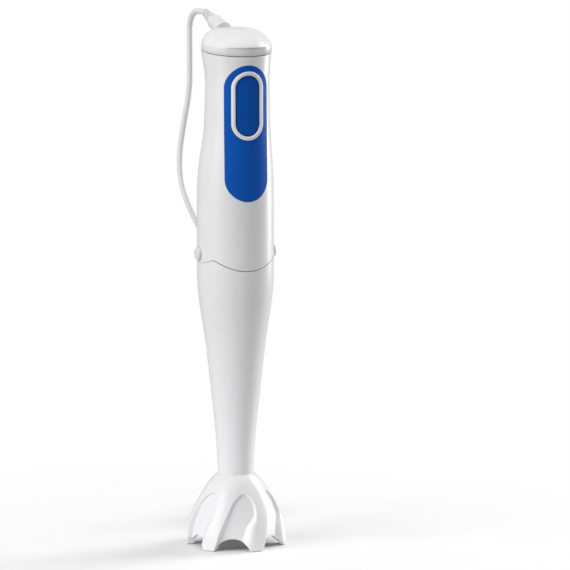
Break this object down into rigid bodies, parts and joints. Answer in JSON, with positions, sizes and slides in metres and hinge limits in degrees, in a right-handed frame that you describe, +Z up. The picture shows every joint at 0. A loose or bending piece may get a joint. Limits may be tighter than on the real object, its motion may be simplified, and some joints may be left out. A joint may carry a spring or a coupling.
{
  "type": "immersion blender",
  "caption": "Stick blender: a tapered foot with a scalloped blade guard, a waisted handle with a grip panel, push button, domed cap and mains cord.",
  "frame": {"origin": "on the long axis, on the surface that the blade guard stands on", "axes": "+Z up along the blender's long axis, -Y towards the power button, +X to the right release button as seen from behind the button"},
  "size_m": [0.0965, 0.1878, 0.3529],
  "materials": {
    "white_plastic": "satin moulded plastic",
    "grey_plastic": "fine matt moulded plastic",
    "blue_grip": "soft-touch rubber",
    "blue_button": "soft-touch",
    "silver_trim": "pearl silver",
    "bronze": "sintered",
    "black_rubber": "matt",
    "steel": "plain",
    "blade_steel": "brushed",
    "drive_plastic": "plain",
    "magnet": "sintered",
    "dark_plastic": "plain",
    "board": "laminate",
    "cord_white": "soft vinyl",
    "plated_pins": "nickel plated",
    "copper": "bare copper"
  },
  "bodies": {
    "blending_foot": {"shaft_housing": "white_plastic", "bell_guard": "white_plastic", "lower_bush": "bronze", "upper_bush": "bronze", "shaft_seal": "black_rubber"},
    "blade_drive": {"drive_shaft": "steel", "drive_socket": "drive_plastic", "blade": "blade_steel", "blade_hub": "steel", "retaining_ring": "steel"},
    "handle": {"motor_housing": "white_plastic", "grip_panel": "blue_grip", "button_bezel": "silver_trim", "top_cap": "white_plastic", "coupling_plug": "white_plastic", "plug_screws": "steel", "lower_motor_mount": "black_rubber", "motor_can": "steel", "lower_bearing": "bronze", "motor_magnets": "magnet", "brush_endcap": "dark_plastic", "carbon_brushes": "magnet", "brush_springs": "steel", "upper_bearing": "bronze", "upper_motor_mount": "black_rubber", "board_carrier": "dark_plastic", "circuit_board": "board", "board_screws": "steel", "cord_clamp": "dark_plastic", "clamp_screws": "steel", "capacitor": "dark_plastic", "rectifier": "dark_plastic", "switch_body": "dark_plastic", "lead_wires": "cord_white", "motor_leads": "cord_white", "button_spring": "steel", "right_release_spring": "steel", "left_release_spring": "steel", "strain_relief": "cord_white", "cord": "cord_white", "cord_hank": "cord_white", "cord_tie": "black_rubber", "plug_body": "cord_white", "plug_pins": "plated_pins"},
    "rotor": {"rotor_shaft": "steel", "drive_dog": "drive_plastic", "cooling_fan": "dark_plastic", "armature_core": "steel", "armature_windings": "copper", "commutator": "copper"},
    "power_button": {"power_button": "blue_button", "switch_plunger": "dark_plastic"},
    "right_release": {"right_release_button": "grey_plastic", "right_latch_hook": "grey_plastic"},
    "left_release": {"left_release_button": "grey_plastic", "left_latch_hook": "grey_plastic"}
  },
  "joints": [
    {"name": "handle_lift", "type": "slide", "parent": "blending_foot", "child": "handle", "axis": [0, 0, 1], "range_m": [0, 0.06], "deforming": ["right_latch_hook", "left_latch_hook"]},
    {"name": "blade_spin", "type": "hinge", "parent": "blending_foot", "child": "blade_drive", "pos_m": [0, 0, 0.1], "axis": [0, 0, 1], "continuous": true},
    {"name": "motor_spin", "type": "hinge", "parent": "handle", "child": "rotor", "pos_m": [0, 0, 0.22], "axis": [0, 0, 1], "continuous": true},
    {"name": "power_press", "type": "slide", "parent": "handle", "child": "power_button", "axis": [0, 1, 0], "range_m": [0, 0.0018], "stiffness_N_per_m": 400, "springref_m": -0.004, "deforming": ["button_spring"]},
    {"name": "right_release_press", "type": "slide", "parent": "handle", "child": "right_release", "axis": [-1, 0, 0], "range_m": [0, 0.0022], "stiffness_N_per_m": 600, "springref_m": -0.003, "deforming": ["right_release_spring"]},
    {"name": "left_release_press", "type": "slide", "parent": "handle", "child": "left_release", "axis": [1, 0, 0], "range_m": [0, 0.0022], "stiffness_N_per_m": 600, "springref_m": -0.003, "deforming": ["left_release_spring"]}
  ],
  "couplings": [
    {"joint": "blade_spin", "follows": "motor_spin", "ratio": 1}
  ]
}
